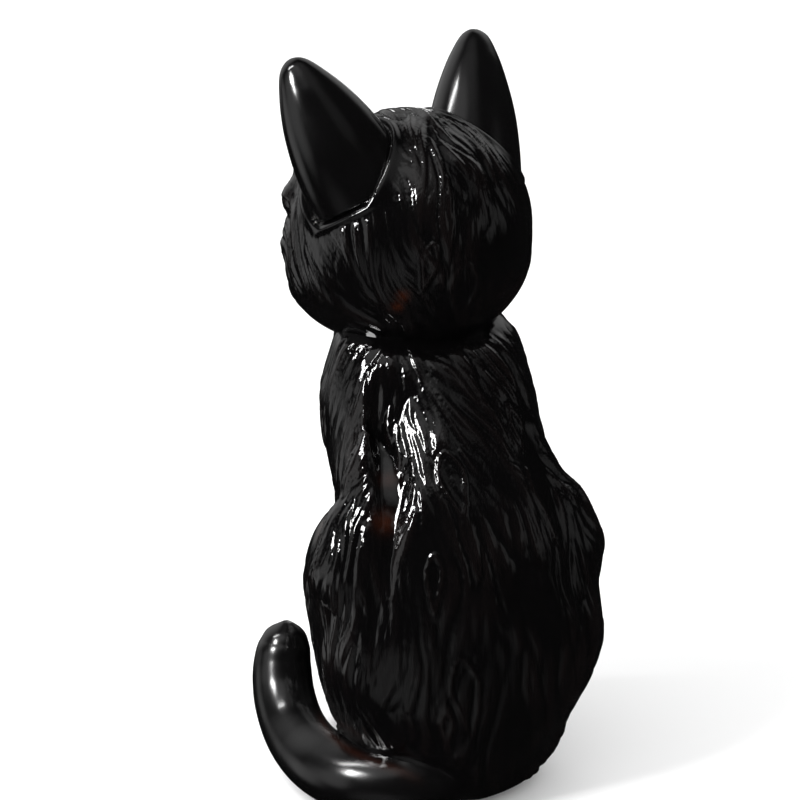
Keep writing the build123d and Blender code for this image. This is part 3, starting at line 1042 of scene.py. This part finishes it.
def add_plate(around=96):
    """Closing plate in the foot ring: softened edges, slightly hollow underside, vent hole."""
    _, centre_y, half, back, front = TORSO[0]
    angle = np.linspace(0, 2 * math.pi, around, endpoint=False)
    c, s = np.cos(angle), np.sin(angle)

    def outline(inset):
        deep = np.where(s > 0, back, front) - FOOT_RIM - inset
        return np.stack([(half - FOOT_RIM - inset) * c, centre_y + deep * s], 1)

    def vent(wider):
        return np.stack([VENT[0] + (VENT[2] + wider) * c, VENT[1] + (VENT[2] + wider) * s], 1)

    hole, wide_hole = vent(0.0), vent(0.5)
    rows = [(wide_hole, 0.35), (outline(9.0) * 0.5 + wide_hole * 0.5, 0.5), (outline(3.0), 0.45),
            (outline(1.2), 0.12), (outline(0.5), 0.0), (outline(0.12), 0.12), (outline(0.0), 0.5),
            (outline(0.0), PLATE_T - 0.4), (outline(0.3), PLATE_T - 0.05), (outline(3.0), PLATE_T),
            (wide_hole, PLATE_T), (hole, PLATE_T - 0.5), (hole, 0.9)]
    verts = np.concatenate([np.concatenate([xy, np.full((around, 1), z)], 1) for xy, z in rows])
    faces = ring_faces(len(rows), around, closed=True)[:, ::-1]
    take_place(add_mesh("base_plate", verts, faces), "base_plate", "bare_clay", CLAY)


# ---- floor, light and camera ---------------------------------------------------------------------------
def add_floor():
    """Wide pale sweep that the cat stands on."""
    bpy.ops.mesh.primitive_plane_add(size=12)
    floor = bpy.context.object
    floor.name = "floor"
    material, _, _ = new_material("floor", Base_Color=(0.93, 0.93, 0.93, 1), Roughness=0.9)
    floor.data.materials.append(material)
    floor.visible_glossy = False


def direction(azimuth, elevation):
    """Unit vector away from the cat: azimuth from its front towards its left, elevation from level."""
    a, e = math.radians(azimuth), math.radians(elevation)
    return np.array((math.sin(a) * math.cos(e), -math.cos(a) * math.cos(e), math.sin(e)))


def set_up(name, data, azimuth, elevation, distance, aim):
    """Lamp or camera, placed by direction and distance from a point and turned to it."""
    thing = bpy.data.objects.new(name, data)
    way = direction(azimuth, elevation)
    thing.location = np.array(aim) + way * distance
    thing.rotation_mode = "QUATERNION"
    thing.rotation_quaternion = Vector(way).to_track_quat("Z", "Y")
    bpy.context.scene.collection.objects.link(thing)
    return thing


# Soft lamps: azimuth, elevation, distance, size in metres and power.
SOFTBOXES = {
    "key": (105, 37, 1.2, (0.24, 0.32), 10.5),
    "strip": (76, 56, 1.2, (0.07, 0.46), 4.0),
    "front": (335, 6, 1.6, (0.4, 0.3), 1.0),
}
# What the glaze mirrors of a dim studio: azimuth, elevation, full and edge angle, strength.
REFLECTED = [
    (94, 8, 6, 26, 0.55), (64, -12, 4, 22, 0.60), (160, 80, 6, 34, 0.22), (244, 14, 3, 20, 0.18),
    (200, 48, 2, 16, 0.09), (128, 62, 5, 24, 0.40), (140, -25, 6, 30, 0.14), (170, -30, 4, 30, 0.05),
    (20, 22, 12, 42, 0.60), (318, 30, 6, 28, 0.60),
]
ROOM_GLOW = 0.008        # strength mirrored from everywhere else
ROOM_LIGHT = 1.18        # strength of the plain white light around the cat


def add_lamps():
    for name, (azimuth, elevation, distance, size, power) in SOFTBOXES.items():
        light = bpy.data.lights.new(name, "AREA")
        light.shape = "RECTANGLE"
        light.size, light.size_y = size
        light.energy = power
        set_up(name, light, azimuth, elevation, distance, (0.0, 0.0, 0.12))


def soft_patch(tree, place, azimuth, elevation, full, edge, strength):
    """Strength of one soft round patch of light, by direction."""
    toward = add_node(tree, "VectorMath", {1: direction(azimuth, elevation)}, operation="DOT_PRODUCT")
    tree.links.new(place, toward.inputs[0])
    soft = add_node(tree, "MapRange", {
        "From Min": math.cos(math.radians(edge)), "From Max": math.cos(math.radians(full)),
        "To Min": 0.0, "To Max": strength,
    }, interpolation_type="SMOOTHSTEP")
    tree.links.new(toward.outputs["Value"], soft.inputs["Value"])
    return soft.outputs["Result"]


def add_studio():
    """Plain white room light, with a dim studio of soft patches for the glaze to mirror."""
    world = bpy.data.worlds.new("studio")
    bpy.context.scene.world = world
    world.use_nodes = True
    tree = world.node_tree
    plain = tree.nodes["Background"]
    plain.inputs["Color"].default_value = (1, 1, 1, 1)
    plain.inputs["Strength"].default_value = ROOM_LIGHT
    mirrored_room = add_node(tree, "Background", {"Color": (1, 1, 1, 1)})
    place = add_node(tree, "TexCoord").outputs["Generated"]
    glow = None
    for patch in REFLECTED:
        total = add_node(tree, "Math", {1: ROOM_GLOW}, operation="ADD")
        tree.links.new(soft_patch(tree, place, *patch), total.inputs[0])
        if glow:
            tree.links.new(glow, total.inputs[1])
        glow = total.outputs[0]
    tree.links.new(glow, mirrored_room.inputs["Strength"])
    mix = add_node(tree, "MixShader")
    tree.links.new(add_node(tree, "LightPath").outputs["Is Glossy Ray"], mix.inputs[0])
    tree.links.new(plain.outputs[0], mix.inputs[1])
    tree.links.new(mirrored_room.outputs[0], mix.inputs[2])
    tree.links.new(mix.outputs[0], tree.nodes["World Output"].inputs["Surface"])


def add_camera():
    """Long lens from behind, a little to the cat's left and above."""
    lens = bpy.data.cameras.new("camera")
    lens.lens = 127
    lens.sensor_width = 36
    bpy.context.scene.camera = set_up("camera", lens, 162, 21, 0.9, (0.0135, 0.0, 0.130))


add_body()
add_skull()
add_muzzle()
add_nose()
add_ears()
add_eyes()
add_tail()
add_plate()
add_floor()
add_studio()
add_lamps()
add_camera()
bpy.context.scene.view_settings.view_transform = "Standard"
